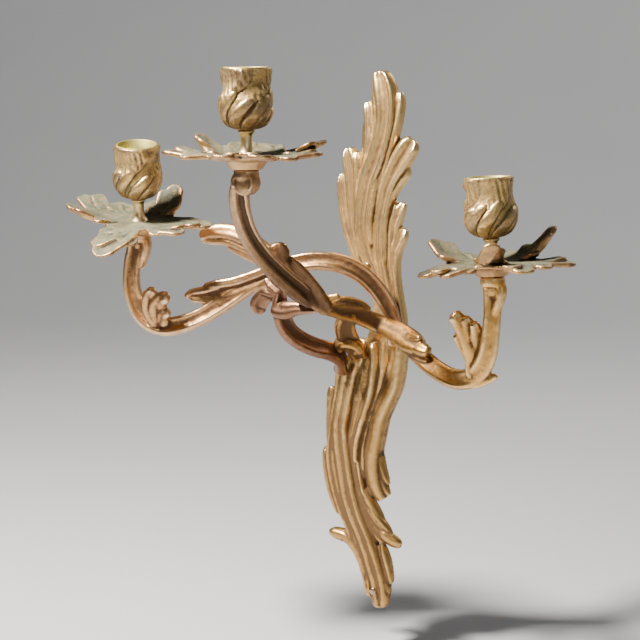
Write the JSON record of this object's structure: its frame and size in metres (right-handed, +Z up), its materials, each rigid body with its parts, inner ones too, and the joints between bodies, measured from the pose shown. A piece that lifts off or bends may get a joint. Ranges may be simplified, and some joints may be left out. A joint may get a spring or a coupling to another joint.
{
  "type": "wall sconce candle holder",
  "caption": "Rocaille wall sconce in gilt bronze with scrolling leaf arms, leaf drip pans and twisted leaf candle cups on an S-shaped acanthus backplate.",
  "frame": {"origin": "centre of the flat pad on the backplate's back, on the plane of the wall", "axes": "+Y into the wall, +Z up, +X to the right along the wall as seen from the room; the sconce stands out towards -Y"},
  "size_m": [0.4014, 0.2419, 0.4204],
  "materials": {
    "gilt_bronze": "worn fire gilding over cast bronze, brown in the recesses",
    "worn_bronze": "gilding worn to copper-brown bronze, dark in the grooves",
    "green_bronze": "grey-green verdigris over brown bronze, with bare edges",
    "pale_brass": "turned and polished pale brass",
    "cup_bronze": "worn gilding with brown and green tints in the recesses",
    "yellow_brass": "smooth greenish yellow brass",
    "pin_brass": "dull brown brass",
    "steel": "plain steel, dull"
  },
  "bodies": {
    "frame": {"backplate": "gilt_bronze", "scroll_bracket": "worn_bronze", "left_arm": "worn_bronze", "centre_arm": "worn_bronze", "right_arm": "worn_bronze", "left_arm_screw": "steel", "right_arm_screw": "steel", "bracket_screw": "steel", "junction_pin_right_arm": "steel", "junction_pin_bracket": "steel", "wall_pin_upper": "pin_brass", "wall_pin_lower": "pin_brass", "stud_left": "steel", "stud_centre": "steel", "stud_right": "steel"},
    "pan_left": {"drip_pan_left": "green_bronze"},
    "pan_centre": {"drip_pan_centre": "green_bronze"},
    "pan_right": {"drip_pan_right": "green_bronze"},
    "cup_left": {"stem_left": "pale_brass", "candle_cup_left": "cup_bronze", "cup_liner_left": "yellow_brass"},
    "cup_centre": {"stem_centre": "pale_brass", "candle_cup_centre": "cup_bronze", "cup_liner_centre": "yellow_brass"},
    "cup_right": {"stem_right": "pale_brass", "candle_cup_right": "cup_bronze", "cup_liner_right": "yellow_brass"}
  },
  "joints": [
    {"name": "pan_left_turn", "type": "hinge", "parent": "frame", "child": "pan_left", "pos_m": [-0.157, -0.099, 0.085], "axis": [0.0951, -0.1654, 0.9816], "continuous": true},
    {"name": "pan_centre_turn", "type": "hinge", "parent": "frame", "child": "pan_centre", "pos_m": [0.002, -0.2, 0.144], "axis": [0, 0, 1], "continuous": true},
    {"name": "pan_right_turn", "type": "hinge", "parent": "frame", "child": "pan_right", "pos_m": [0.135, -0.099, 0.07], "axis": [-0.0523, 0, 0.9986], "continuous": true},
    {"name": "cup_left_unscrew", "type": "hinge", "parent": "frame", "child": "cup_left", "pos_m": [-0.157, -0.099, 0.085], "axis": [0.0951, -0.1654, 0.9816], "continuous": true},
    {"name": "cup_centre_unscrew", "type": "hinge", "parent": "frame", "child": "cup_centre", "pos_m": [0.002, -0.2, 0.144], "axis": [0, 0, 1], "continuous": true},
    {"name": "cup_right_unscrew", "type": "hinge", "parent": "frame", "child": "cup_right", "pos_m": [0.135, -0.099, 0.07], "axis": [-0.0523, 0, 0.9986], "continuous": true}
  ]
}
